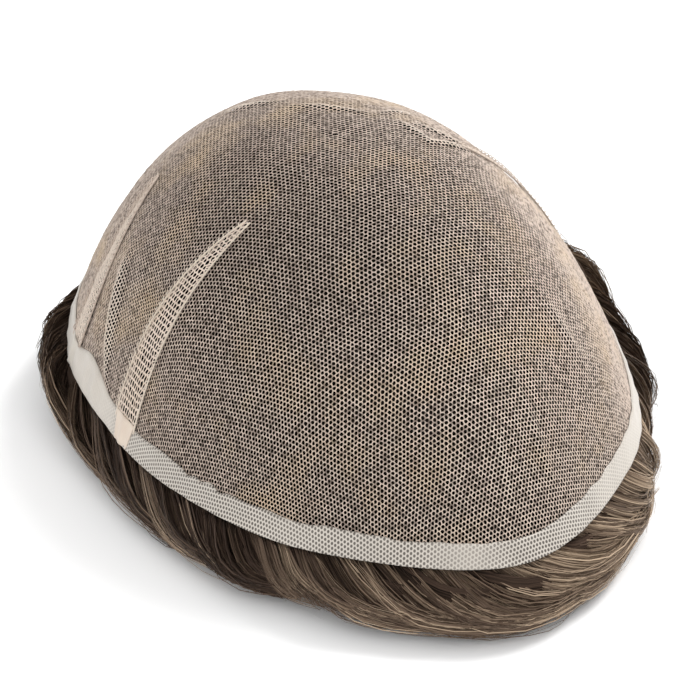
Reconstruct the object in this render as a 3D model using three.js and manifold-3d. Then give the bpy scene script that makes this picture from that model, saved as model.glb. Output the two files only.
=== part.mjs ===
// A lace toupee turned inside out: the domed lace base stands crown up on its own hair.
// The front hairline faces -Y, and azimuths run from it towards +X. All lengths are millimetres.
import * as THREE from 'three';
import { mergeVertices } from 'three/addons/utils/BufferGeometryUtils.js';
import Module from 'manifold-3d';

const wasm = await Module();
wasm.setup();

// Base
const capLength = 193.5; // rim, front to back
const capWidth = 135; // rim, side to side
const capDepth = 67; // crown above the rim
const crownSetback = 5.4; // crown behind the middle of the length
const meridianTurn = 52.4; // degrees that a meridian turns through from crown to rim
const meridianFullness = 0.79; // below 1, the shoulders of the dome are fuller
const rimHeight = 18; // rim above the surface that the hair stands on
const laceWall = 1;
const clearance = 0.3; // between pieces that touch

// Edge band and darts
const bandWidth = 6.4;
const bandWall = 1;
const dartWidth = 10; // at the rim
const dartTipWidth = 1.4;
const dartFullness = 1.7; // above 1, a dart keeps its width longer
const dartBend = 2.2; // above 1, a dart turns mostly near its tip
const dartWall = 0.8;

// Hair
const crownHairWall = 4; // hair lying against the inside of the lace
const backingWidth = 12; // strip inside the rim that the locks grow from
const rootOverlap = 0.5; // stretch of the strip that is trimmed away to fit the lace
const lockWidth = 25;
const lockThickness = 10;
const lockReach = 16; // the bellies and tips below are shares of this, out from the rim
const rootDepth = 5.5; // middle of a lock's root, under the lace's outer surface
const rootRise = 6; // middle of a lock's root, up the lace from the rim
const neckDepth = 4.4; // middle of a lock where it comes out under the rim, in from the rim
const neckDrop = 2.5; // and down from it
const partingWidth = 0.8; // between two groups of hair

// How finely the dome and the locks are faceted
const columnCount = 40;
const rowCount = 12;
const hairRowCount = 7;
const dartSections = 9;
const lockSides = 6;
const lockSections = 8;
const wedgeSteps = 12;
const meridianSteps = 80;

// Small steps and distances that the working needs
const normalStep = 0.002; // of share, to either side of a point when its normal is worked out
const poleShare = 1e-6; // below this share a point is the crown itself
const mergeDistance = 1e-4; // corners nearer than this are one corner

// The rim every 30 degrees of azimuth, from the front hairline round to the back, as shares of half
// the length, half the width and the depth; the other side mirrors it
const rimStations = [
  { along: 1.0, across: 0.0, lift: -0.031 },
  { along: 0.726, across: 0.647, lift: -0.01 },
  { along: 0.324, across: 0.941, lift: 0.013 },
  { along: -0.055, across: 1.0, lift: 0.041 },
  { along: -0.425, across: 0.917, lift: 0.039 },
  { along: -0.79, across: 0.607, lift: 0.025 },
  { along: -1.0, across: 0.0, lift: 0.018 },
];

// Darts, by azimuth in degrees at the rim and at the tip, and how far down from the crown the tip is
const darts = [
  { name: 'dart_left_front', rim: 280.5, tip: 298, tipShare: 0.36 },
  { name: 'dart_left_back', rim: 245, tip: 230, tipShare: 0.5 },
  { name: 'dart_right_front', rim: 84, tip: 75, tipShare: 0.32 },
  { name: 'dart_right_back', rim: 115, tip: 130, tipShare: 0.5 },
];

// How far along its sweep a lock passes each point of its route
const neckShare = 0.08;
const bellyShare = 0.42;
const fallShare = 0.78;

// How a lock narrows: its root as a share of its width, and where along it the point begins
const rootShare = 0.62;
const pointStart = 0.72;
const pointBluntness = 0.25; // width of the very tip, as a share

// Locks. at and sweep are degrees of azimuth; belly and tip are shares of lockReach, bellyRise and
// tipRise of rimHeight, and wide of lockWidth
const lockGroups = [
  {
    name: 'hair_left',
    from: 180,
    to: 324,
    locks: [
      { at: 184, sweep: 11, belly: 0.2, bellyRise: 0.5, tip: -0.1, tipRise: 0.2, wide: 0.9 },
      { at: 194, sweep: 18, belly: 0.1, bellyRise: 0.5, tip: -0.2, tipRise: 0.2, wide: 1.0 },
      { at: 206, sweep: 25, belly: 0.0, bellyRise: 0.5, tip: -0.35, tipRise: 0.2, wide: 1.0 },
      { at: 221, sweep: 30, belly: 0.1, bellyRise: 0.5, tip: -0.5, tipRise: 0.2, wide: 1.0 },
      { at: 236, sweep: 31, belly: 0.04, bellyRise: 0.52, tip: -0.6, tipRise: 0.2, wide: 1.0 },
      { at: 251, sweep: 31, belly: 0.0, bellyRise: 0.5, tip: -0.6, tipRise: 0.2, wide: 1.0 },
      { at: 266, sweep: 29, belly: -0.02, bellyRise: 0.46, tip: -0.55, tipRise: 0.2, wide: 1.0 },
      { at: 281, sweep: 24, belly: 0.0, bellyRise: 0.45, tip: -0.45, tipRise: 0.2, wide: 1.0 },
      { at: 294, sweep: 18, belly: 0.0, bellyRise: 0.44, tip: -0.4, tipRise: 0.24, wide: 0.95 },
      { at: 305, sweep: 14, belly: 0.05, bellyRise: 0.44, tip: -0.35, tipRise: 0.26, wide: 0.95 },
      { at: 315, sweep: 9, belly: 0.02, bellyRise: 0.44, tip: -0.4, tipRise: 0.28, wide: 0.9 },
    ],
  },
  {
    name: 'hair_front',
    from: 324,
    to: 423,
    locks: [
      { at: 328, sweep: 9, belly: 0.1, bellyRise: 0.46, tip: -0.1, tipRise: 0.24, wide: 0.85 },
      { at: 335, sweep: 13, belly: 0.3, bellyRise: 0.44, tip: 0.1, tipRise: 0.2, wide: 0.95 },
      { at: 343, sweep: 16, belly: 0.38, bellyRise: 0.4, tip: 0.05, tipRise: 0.24, wide: 1.0 },
      { at: 353, sweep: 16, belly: 0.32, bellyRise: 0.42, tip: 0.05, tipRise: 0.22, wide: 1.0 },
      { at: 365, sweep: 16, belly: 0.15, bellyRise: 0.44, tip: -0.05, tipRise: 0.22, wide: 1.0 },
      { at: 378, sweep: 15, belly: 0.02, bellyRise: 0.46, tip: -0.15, tipRise: 0.24, wide: 1.0 },
      { at: 390, sweep: 14, belly: -0.06, bellyRise: 0.46, tip: -0.2, tipRise: 0.26, wide: 0.95 },
      { at: 401, sweep: 12, belly: -0.08, bellyRise: 0.46, tip: -0.3, tipRise: 0.26, wide: 0.95 },
      { at: 412, sweep: 9, belly: 0.0, bellyRise: 0.48, tip: -0.3, tipRise: 0.26, wide: 0.9 },
    ],
  },
  {
    name: 'hair_right',
    from: 63,
    to: 180,
    locks: [
      { at: 176, sweep: -11, belly: 0.3, bellyRise: 0.5, tip: 0.0, tipRise: 0.2, wide: 0.9 },
      { at: 166, sweep: -18, belly: 0.4, bellyRise: 0.6, tip: 0.0, tipRise: 0.2, wide: 1.0 },
      { at: 153, sweep: -24, belly: 0.5, bellyRise: 0.68, tip: 0.2, tipRise: 0.2, wide: 1.0 },
      { at: 139, sweep: -24, belly: 0.62, bellyRise: 0.76, tip: 0.4, tipRise: 0.25, wide: 1.0 },
      { at: 125, sweep: -22, belly: 0.8, bellyRise: 0.86, tip: 0.5, tipRise: 0.3, wide: 1.0 },
      { at: 112, sweep: -20, belly: 0.74, bellyRise: 0.88, tip: 0.4, tipRise: 0.3, wide: 0.95 },
      { at: 99, sweep: -17, belly: 0.5, bellyRise: 0.74, tip: 0.25, tipRise: 0.3, wide: 0.95 },
      { at: 88, sweep: -13, belly: 0.32, bellyRise: 0.6, tip: 0.15, tipRise: 0.28, wide: 0.9 },
      { at: 79, sweep: -9, belly: 0.36, bellyRise: 0.5, tip: 0.1, tipRise: 0.26, wide: 0.9 },
      { at: 71, sweep: -6, belly: 0.24, bellyRise: 0.5, tip: 0.0, tipRise: 0.26, wide: 0.8 },
    ],
  },
];

const crown = new THREE.Vector3(0, crownSetback, 0);
const rimCurve = makeRimCurve();
const finishes = {
  lace: { color: 0xb9a793, roughness: 0.9, metalness: 0 },
  band: { color: 0xe2dccf, roughness: 0.7, metalness: 0 },
  dart: { color: 0xd8c3ae, roughness: 0.9, metalness: 0 },
  hair: { color: 0x4a3d33, roughness: 0.6, metalness: 0 },
};

/** The closed curve through the rim stations and their mirror images; z is the rim's lift. */
function makeRimCurve() {
  const half = rimStations.map(
    (s) => new THREE.Vector3((s.across * capWidth) / 2, (-s.along * capLength) / 2, s.lift * capDepth),
  );
  const mirrored = half.slice(1, -1).reverse().map((p) => new THREE.Vector3(-p.x, p.y, p.z));
  return new THREE.CatmullRomCurve3([...half, ...mirrored], true, 'catmullrom', 0.5);
}

/** The rim at an azimuth in degrees. */
function rimPoint(azimuth) {
  return rimCurve.getPoint(THREE.MathUtils.euclideanModulo(azimuth / 360, 1));
}

/** The lace's outer surface; share runs from 0 at the crown to 1 at the rim. */
function domePoint(azimuth, share) {
  const rim = rimPoint(azimuth);
  const turn = THREE.MathUtils.degToRad(meridianTurn);
  const spread = Math.pow(Math.sin(share * turn) / Math.sin(turn), meridianFullness);
  const rise = (Math.cos(share * turn) - Math.cos(turn)) / (1 - Math.cos(turn));
  return new THREE.Vector3(
    crown.x + (rim.x - crown.x) * spread,
    crown.y + (rim.y - crown.y) * spread,
    rimHeight + capDepth * rise + rim.z * share * share,
  );
}

/** The length of one degree of azimuth along the dome, at a share. */
function degreeLength(azimuth, share) {
  return domePoint(azimuth + 0.5, share).distanceTo(domePoint(azimuth - 0.5, share));
}

/** The outward normal of the dome. */
function domeNormal(azimuth, share) {
  const low = Math.max(share, normalStep);
  const down = domePoint(azimuth, low + normalStep).sub(domePoint(azimuth, low - normalStep));
  const round = domePoint(azimuth + 1, low).sub(domePoint(azimuth - 1, low));
  return down.cross(round).normalize();
}

/** A point that lies depth inside the lace's outer surface. */
function domeOffset(azimuth, share, depth) {
  if (share < poleShare) return new THREE.Vector3(crown.x, crown.y, rimHeight + capDepth - depth);
  return domePoint(azimuth, share).addScaledVector(domeNormal(azimuth, share), -depth);
}

/** The share at which the meridian is a given length up from the rim. */
function shareUpFromRim(azimuth, length) {
  let walked = 0;
  let last = domePoint(azimuth, 1);
  for (let step = meridianSteps - 1; step > 0; step--) {
    const next = domePoint(azimuth, step / meridianSteps);
    const stride = next.distanceTo(last);
    walked += stride;
    if (walked >= length) return (step + (walked - length) / stride) / meridianSteps;
    last = next;
  }
  return 0;
}

/**
 * A closed body from rings of points. With loop, the last ring joins the first; otherwise each end
 * is fanned.
 */
function loft(rings, loop = false) {
  const sides = rings[0].length;
  const positions = [];
  const faces = [];
  rings.forEach((ring) => ring.forEach((p) => positions.push(p.x, p.y, p.z)));
  const spans = loop ? rings.length : rings.length - 1;
  for (let i = 0; i < spans; i++) {
    for (let j = 0; j < sides; j++) {
      const a = i * sides + j;
      const b = i * sides + ((j + 1) % sides);
      const c = ((i + 1) % rings.length) * sides + j;
      const d = ((i + 1) % rings.length) * sides + ((j + 1) % sides);
      faces.push(a, b, d, a, d, c);
    }
  }
  if (!loop) {
    fan(rings[0], 0, positions, faces, true);
    fan(rings.at(-1), (rings.length - 1) * sides, positions, faces, false);
  }
  const geometry = new THREE.BufferGeometry();
  geometry.setAttribute('position', new THREE.Float32BufferAttribute(positions, 3));
  geometry.setIndex(volumeWithin(positions, faces) < 0 ? faces.reverse() : faces);
  return geometry;
}

/** The volume within a closed surface, negative where its faces point inwards. */
function volumeWithin(positions, faces) {
  const corner = (index) => new THREE.Vector3().fromArray(positions, faces[index] * 3);
  let volume = 0;
  for (let i = 0; i < faces.length; i += 3) {
    volume += corner(i).dot(corner(i + 1).cross(corner(i + 2))) / 6;
  }
  return volume;
}

/** Closes one end of a loft with triangles round the ring's centre. */
function fan(ring, first, positions, faces, flip) {
  const centre = ring.reduce((sum, p) => sum.add(p), new THREE.Vector3()).divideScalar(ring.length);
  const hub = positions.length / 3;
  positions.push(centre.x, centre.y, centre.z);
  for (let j = 0; j < ring.length; j++) {
    const next = (j + 1) % ring.length;
    if (flip) faces.push(hub, first + next, first + j);
    else faces.push(hub, first + j, first + next);
  }
}

/** A geometry as a manifold solid. */
function toSolid(geometry) {
  const bare = new THREE.BufferGeometry();
  bare.setAttribute('position', geometry.getAttribute('position').clone());
  bare.setIndex(geometry.getIndex() ? geometry.getIndex().clone() : null);
  const merged = mergeVertices(bare, mergeDistance);
  return new wasm.Manifold(
    new wasm.Mesh({
      numProp: 3,
      vertProperties: new Float32Array(merged.getAttribute('position').array),
      triVerts: new Uint32Array(merged.getIndex().array),
    }),
  );
}

/** A manifold solid as a geometry. */
function toGeometry(solid) {
  const mesh = solid.getMesh();
  const geometry = new THREE.BufferGeometry();
  geometry.setAttribute('position', new THREE.Float32BufferAttribute(mesh.vertProperties, 3));
  geometry.setIndex(new THREE.BufferAttribute(mesh.triVerts, 1));
  return geometry;
}

/** The azimuths that the dome and the band are faceted at. */
function columnAzimuths() {
  return Array.from({ length: columnCount }, (_, j) => (360 * j) / columnCount);
}

/** A dome-shaped wall between two depths, from the crown down to lowestShare(azimuth). */
function domeShell(outerDepth, innerDepth, lastRow, lowestShare) {
  const ring = (row, depth) =>
    columnAzimuths().map((azimuth) => domeOffset(azimuth, (lowestShare(azimuth) * row) / lastRow, depth));
  const rows = Array.from({ length: lastRow }, (_, i) => i + 1);
  const outer = rows.map((row) => ring(row, outerDepth));
  const inner = rows.reverse().map((row) => ring(row, innerDepth));
  const shell = loft([...outer, ...inner]);
  raiseHub(shell, 0, domeOffset(0, 0, outerDepth));
  raiseHub(shell, 1, domeOffset(0, 0, innerDepth));
  return shell;
}

/** Moves one of a loft's two hub points to the pole of the dome. */
function raiseHub(geometry, which, pole) {
  const position = geometry.getAttribute('position');
  position.setXYZ(position.count - 2 + which, pole.x, pole.y, pole.z);
}

/** The hair against the inside of the lace, down to the strip of hair roots. */
function crownHair() {
  const outerDepth = laceWall + clearance;
  const lowest = (azimuth) => shareUpFromRim(azimuth, backingWidth + clearance);
  return domeShell(outerDepth, outerDepth + crownHairWall, hairRowCount, lowest);
}

/** The upper edge, the middle and the lower edge of the band. */
function bandShares(azimuth) {
  const top = shareUpFromRim(azimuth, bandWidth);
  return [top, (top + 1) / 2, 1];
}

/** The ribbon sewn on the lace round its rim. */
function edgeBand() {
  const rings = columnAzimuths().map((azimuth) => {
    const shares = bandShares(azimuth);
    return [
      ...shares.map((s) => domeOffset(azimuth, s, -clearance - bandWall)),
      ...shares.reverse().map((s) => domeOffset(azimuth, s, -clearance)),
    ];
  });
  return loft(rings, true);
}

/** A tapering tuck sewn flat on the lace, from just above the band to its tip. */
function dartTuck(dart) {
  const innerDepth = -clearance;
  const outerDepth = -clearance - dartWall;
  const rimShare = shareUpFromRim(dart.rim, bandWidth + clearance);
  const rings = Array.from({ length: dartSections }, (_, i) => {
    const t = i / (dartSections - 1);
    const share = THREE.MathUtils.lerp(rimShare, dart.tipShare, t);
    const azimuth = THREE.MathUtils.lerp(dart.rim, dart.tip, Math.pow(t, dartBend));
    const width = THREE.MathUtils.lerp(dartWidth, dartTipWidth, Math.pow(t, dartFullness));
    const half = width / 2 / degreeLength(azimuth, share);
    const across = [-half, 0, half];
    return [
      ...across.map((a) => domeOffset(azimuth + a, share, outerDepth)),
      ...across.reverse().map((a) => domeOffset(azimuth + a, share, innerDepth)),
    ];
  });
  return loft(rings);
}

/** A point beside the rim: out is measured level, away from the cap, and z from the standing surface. */
function besideRim(azimuth, out, z) {
  const rim = rimPoint(azimuth);
  const along = rimPoint(azimuth + 1).sub(rimPoint(azimuth - 1)).setZ(0).normalize();
  const away = new THREE.Vector3(along.y, -along.x, 0);
  return rim.setZ(z).addScaledVector(away, out);
}

/** The middle line of a lock: out of the rim, over its belly and down to its tip. */
function lockCurve(lock) {
  const rim = rimHeight + rimPoint(lock.at).z;
  const at = (share) => lock.at + lock.sweep * share;
  const fall = (lock.belly + lock.tip) / 2;
  const fallRise = THREE.MathUtils.lerp(lock.bellyRise, lock.tipRise, fallShare);
  return new THREE.CatmullRomCurve3([
    domeOffset(at(0), shareUpFromRim(at(0), rootRise), rootDepth),
    besideRim(at(neckShare), -neckDepth, rim - neckDrop),
    besideRim(at(bellyShare), lock.belly * lockReach, lock.bellyRise * rimHeight),
    besideRim(at(fallShare), fall * lockReach, fallRise * rimHeight),
    besideRim(at(1), lock.tip * lockReach, lock.tipRise * rimHeight),
  ]);
}

/** How wide a lock is along its length, as a share: a narrow root, a full belly and a blunt point. */
function lockTaper(t) {
  const swell = THREE.MathUtils.lerp(rootShare, 1, THREE.MathUtils.smoothstep(t, 0, bellyShare));
  const pointed = THREE.MathUtils.smoothstep(t, pointStart, 1);
  return swell * THREE.MathUtils.lerp(1, pointBluntness, pointed);
}

/** One lock: a flattened, tapering strand bundle swept along its middle line. */
function lockSolid(lock) {
  const curve = lockCurve(lock);
  const rings = Array.from({ length: lockSections }, (_, i) => {
    const t = i / (lockSections - 1);
    const centre = curve.getPoint(t);
    const tangent = curve.getTangent(t);
    const azimuth = lock.at + lock.sweep * t;
    const away = besideRim(azimuth, 1, 0).sub(besideRim(azimuth, 0, 0));
    const side = new THREE.Vector3().crossVectors(tangent, away).normalize();
    const outward = new THREE.Vector3().crossVectors(side, tangent).normalize();
    const halfWide = (lockWidth * lock.wide * lockTaper(t)) / 2;
    const halfThick = (lockThickness * Math.sqrt(lockTaper(t))) / 2;
    return Array.from({ length: lockSides }, (_, j) => {
      const turn = (2 * Math.PI * j) / lockSides;
      return centre
        .clone()
        .addScaledVector(side, Math.cos(turn) * halfWide)
        .addScaledVector(outward, Math.sin(turn) * halfThick);
    });
  });
  return toSolid(loft(rings));
}

/** The strip of hair roots just inside the rim, between two azimuths. */
function backingStrip(from, to) {
  const outerDepth = laceWall + clearance - rootOverlap;
  const innerDepth = laceWall + clearance + crownHairWall;
  const step = 360 / columnCount;
  const within = [...columnAzimuths(), ...columnAzimuths().map((azimuth) => azimuth + 360)];
  const between = within.filter((azimuth) => azimuth > from + step / 4 && azimuth < to - step / 4);
  const rings = [from, ...between, to].map((azimuth) => {
    const top = shareUpFromRim(azimuth, backingWidth);
    const shares = [top, (top + 1) / 2, 1];
    return [
      ...shares.map((s) => domeOffset(azimuth, s, outerDepth)),
      ...shares.reverse().map((s) => domeOffset(azimuth, s, innerDepth)),
    ];
  });
  return toSolid(loft(rings));
}

/** An upright wedge between two azimuths as seen from above the crown, standing on the surface. */
function wedge(from, to) {
  const far = capLength + capWidth;
  const apex = new THREE.Vector2(crown.x, crown.y);
  const [start, end] = [rimPoint(from), rimPoint(to)].map((p) => Math.atan2(p.y - apex.y, p.x - apex.x));
  const span = THREE.MathUtils.euclideanModulo(end - start, 2 * Math.PI);
  const shape = new THREE.Shape([apex]);
  for (let i = 0; i <= wedgeSteps; i++) {
    const turn = start + (span * i) / wedgeSteps;
    shape.lineTo(apex.x + far * Math.cos(turn), apex.y + far * Math.sin(turn));
  }
  const tall = rimHeight + capDepth;
  return toSolid(new THREE.ExtrudeGeometry(shape, { depth: tall, bevelEnabled: false }));
}

/** A group of locks fused to the strip that they grow from, flat where it stands on the surface. */
function hairGroup(group) {
  const halfParting = (partingWidth / capWidth) * THREE.MathUtils.RAD2DEG;
  const from = group.from + halfParting;
  const to = group.to - halfParting;
  let hair = backingStrip(from, to);
  group.locks.forEach((lock) => {
    hair = hair.add(lockSolid(lock));
  });
  hair = hair.intersect(wedge(from, to)).subtract(toSolid(capAndBandSpace()));
  return toGeometry(withoutPinholes(hair));
}

/** The largest surface of a solid, without the pinholes that crossing locks can seal inside it. */
function withoutPinholes(solid) {
  const surfaces = solid.decompose();
  return surfaces.reduce((largest, next) => (next.volume() > largest.volume() ? next : largest));
}

/** The room taken by the lace and its band, grown by the clearance, which the hair keeps out of. */
function capAndBandSpace() {
  const outer = -clearance * 2 - bandWall;
  const inner = laceWall + clearance;
  const low = new THREE.Vector3(0, 0, -clearance);
  const rings = columnAzimuths().map((azimuth) => {
    const shares = [shareUpFromRim(azimuth, backingWidth + lockThickness), ...bandShares(azimuth)];
    return [
      ...shares.map((s) => domeOffset(azimuth, s, outer)),
      domeOffset(azimuth, 1, outer).add(low),
      domeOffset(azimuth, 1, inner).add(low),
      ...shares.reverse().map((s) => domeOffset(azimuth, s, inner)),
    ];
  });
  return loft(rings, true);
}

/** A named mesh with its own material. */
function piece(name, geometry, finish) {
  const faceted = geometry.toNonIndexed();
  faceted.computeVertexNormals();
  const mesh = new THREE.Mesh(faceted, new THREE.MeshStandardMaterial(finish));
  mesh.name = name;
  return mesh;
}

const toupee = new THREE.Group();
toupee.add(piece('lace_base', domeShell(0, laceWall, rowCount, () => 1), finishes.lace));
toupee.add(piece('edge_band', edgeBand(), finishes.band));
darts.forEach((dart) => toupee.add(piece(dart.name, dartTuck(dart), finishes.dart)));
toupee.add(piece('hair_crown', crownHair(), finishes.hair));
lockGroups.forEach((group) => toupee.add(piece(group.name, hairGroup(group), finishes.hair)));

// The origin is under the middle of the whole toupee, on the surface that it stands on
const extent = new THREE.Box3().setFromObject(toupee);
const middle = extent.getCenter(new THREE.Vector3());
toupee.position.set(-middle.x, -middle.y, -extent.min.z);

export default toupee;
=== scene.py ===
"""A lace toupee turned inside out, standing crown up on its own hair: its finish, camera and light."""
import math

import bpy
import numpy as np
from mathutils import Matrix, Vector


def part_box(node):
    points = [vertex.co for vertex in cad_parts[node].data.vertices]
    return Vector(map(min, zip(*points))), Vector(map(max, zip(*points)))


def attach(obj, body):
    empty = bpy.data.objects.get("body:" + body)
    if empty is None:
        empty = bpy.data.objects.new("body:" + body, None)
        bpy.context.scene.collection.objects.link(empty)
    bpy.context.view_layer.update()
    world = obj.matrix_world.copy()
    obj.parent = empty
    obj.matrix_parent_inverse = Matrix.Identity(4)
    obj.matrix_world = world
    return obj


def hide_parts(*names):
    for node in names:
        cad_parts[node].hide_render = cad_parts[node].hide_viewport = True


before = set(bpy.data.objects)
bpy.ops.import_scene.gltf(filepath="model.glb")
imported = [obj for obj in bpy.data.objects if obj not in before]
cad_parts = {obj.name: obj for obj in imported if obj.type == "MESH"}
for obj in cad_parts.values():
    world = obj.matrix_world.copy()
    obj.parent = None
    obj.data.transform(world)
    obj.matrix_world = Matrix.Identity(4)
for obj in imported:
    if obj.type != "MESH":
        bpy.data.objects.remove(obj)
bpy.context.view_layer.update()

mm = 0.001

# Working values
table_step = 3  # degrees between the meridians whose lengths are tabled
just_inside = 1.001  # keeps a look-up short of a table's last row
normal_step = 0.003  # of share, to either side of a point when its normal is worked out
ripple_waves = 7
ripple_spread = (0.7, 1.5)  # of the wavelength, from wave to wave
ripple_calm = 1.6  # brings the sum of the waves mostly within 1

# The base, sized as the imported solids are
cap_length = 193.5 * mm
cap_width = 135 * mm
cap_depth = 67 * mm
crown_setback = 5.4 * mm
meridian_turn = math.radians(52.4)
meridian_fullness = 0.79
rim_height = 18 * mm
crown_hair_wall = 4 * mm
crown_hair_depth = 1.5 * mm
backing_width = 12 * mm

# The rim every 30 degrees from the front hairline to the back, as shares of half the length,
# half the width and the depth
rim_stations = [
    dict(along=1.0, across=0.0, lift=-0.031),
    dict(along=0.726, across=0.647, lift=-0.01),
    dict(along=0.324, across=0.941, lift=0.013),
    dict(along=-0.055, across=1.0, lift=0.041),
    dict(along=-0.425, across=0.917, lift=0.039),
    dict(along=-0.79, across=0.607, lift=0.025),
    dict(along=-1.0, across=0.0, lift=0.018),
]

# The net
net_pitch = 1.12 * mm
net_stretch = 1.06  # of the cloth down a meridian, when it was pulled over its block
net_turn = math.radians(5)  # of its rows, from side to side of the cap
thread_share = 0.27  # of the way from a knot to the middle of a hole
thread_rise = 0.17 * mm
net_sink = 0.35 * mm  # foot of the threads under the lace's outer surface
net_waver = 0.05 * mm  # how far a knot of the net strays
net_swell = 0.3 * mm  # slow unevenness of the whole net
net_edge = 0.992  # share of a meridian's length where the net ends, under the band
swell_start = (0.02, 0.2)  # how far up from the rim the swell comes in, as shares of the meridian
thread_slant = 0.04 * mm  # how far a ridge strays in height
thread_tones = (1.5, 1.1)  # of a beta distribution, so pale threads outnumber dull ones
fold_height = 0.7 * mm  # a crease as high as this is as pale as a fold gets
fold_paleness = 0.6

# Painted shade: how much duller the threads are made towards the left side and the crown, and where that
# comes in
left_painted_shade = dict(depth=0.38, low=-40 * mm, high=50 * mm)
crown_painted_shade = dict(depth=0.35, low=50 * mm, high=85 * mm)
net_brightness = 1.14

# Edge band and darts
band_width = 6.4 * mm
band_gap = 0.3 * mm
band_seat = -0.1 * mm  # under the ribbon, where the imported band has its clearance
band_wall = 0.45 * mm
band_hem = 0.16 * mm
hem_width = 0.07  # share of the ribbon's width
hem_start = 0.05
edge_wall = 0.3  # how thick the inner edge still is, as a share
band_waver = 0.12 * mm
edge_waver = 0.25 * mm
nick_azimuths = (303, 306.5, 311)
nick_width = 1.2
nick_depth = 0.9 * mm
bulge_azimuth = 259
bulge_width = 9
bulge_height = 3.4 * mm
pucker_fullness = 0.7  # below 1, a pucker is fuller towards the ribbon's edges
thin_from = (268, 290)  # where the ribbon turns thin, on its way round the front
thin_to = (10, 34)  # where it turns thick again
thin_mean = 0.9
thin_waver = 0.2
thin_least = 0.04
dart_width = 10 * mm
dart_tip_width = 1.4 * mm
dart_fullness = 1.7
dart_bend = 2.2  # above 1, a dart turns mostly near its tip
dart_lift = 0.35 * mm
dart_waver = 0.11 * mm  # how far a knot of its net strays
bold_net = dict(pitch=1.04 * mm, slot=1.8, thread=0.32)  # slot is the length of a hole over its width
plain_net = dict(pitch=1.0 * mm, slot=1.3, thread=0.29)
doubled_tones = (3, 1.4)  # of a beta distribution, paler than the single net's
dart_selvage = 0.1 * mm  # net past the middle of its cords
dart_swell = 0.1 * mm
under_selvage = 1.3 * mm  # of the single net, kept under a dart's edges
cord_radius = 0.22 * mm
cord_seat = 0.6  # how far a cord's middle is above the dart, as a share of its radius
stitch_step = 1.7 * mm
stitch_slant = 0.55  # of a step
stitch_bite = 0.7 * mm  # to either side of a cord
stitch_seat = 0.25 * mm
stitch_arch = 0.5 * mm
stitch_radius = 0.14 * mm
foot_top = 1.12  # of the ribbon's width
foot_narrow = 0.66  # of the dart's width, at the rim
foot_broad = 0.96  # and at the dart
foot_gap = 0.1 * mm
foot_wall = 0.12 * mm
foot_edge = 0.15  # share of its half width over which a foot falls to its edge

# Darts by azimuth at the rim and at the tip, and by share at the tip; only the bold one has wide slots
darts = [
    dict(name="dart_left_front", rim=280.5, tip=298, tip_share=0.36, bold=True),
    dict(name="dart_left_back", rim=245, tip=230, tip_share=0.5, bold=False),
    dict(name="dart_right_front", rim=84, tip=75, tip_share=0.32, bold=False),
    dict(name="dart_right_back", rim=115, tip=130, tip_share=0.5, bold=False),
]

# Puckers of the ribbon; at and wide are degrees
puckers = [
    dict(at=252, wide=4, high=0.9 * mm),
    dict(at=258, wide=2.2, high=0.5 * mm),
    dict(at=264, wide=3, high=1.1 * mm),
    dict(at=270, wide=2, high=0.4 * mm),
    dict(at=289, wide=3, high=0.3 * mm),
    dict(at=75, wide=6, high=0.3 * mm),
]

# Hair
lock_width = 25 * mm
lock_thickness = 10 * mm
lock_reach = 16 * mm
root_in = 7.2 * mm  # middle of a lock's root, in from the rim
root_up = 3.8 * mm
neck_depth = 4.4 * mm
neck_drop = 2.5 * mm
neck_share = 0.08
strand_neck_share = 0.16
belly_share = 0.42
fall_share = 0.78
root_share = 0.62
puff_lift = 4.0  # how much a puff raises a belly
notch_azimuth = 327
notch_width = 7
notch_depth = 0.52
flow_shift = 0.55  # how far back a longer flow starts, as a share of what it adds
point_start = 0.72
point_bluntness = 0.25
route_step = 0.01  # to either side of a point when a route's direction is worked out

# Room that the hair keeps clear: under the rim, inside the lace and outside the band
rim_margin = 0.95 * mm
rim_inset = 0.5 * mm
wall_inset = 2.0 * mm
wall_lean = 0.36
ceiling_start = 1.5 * mm
ceiling_slope = 1.2

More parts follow.
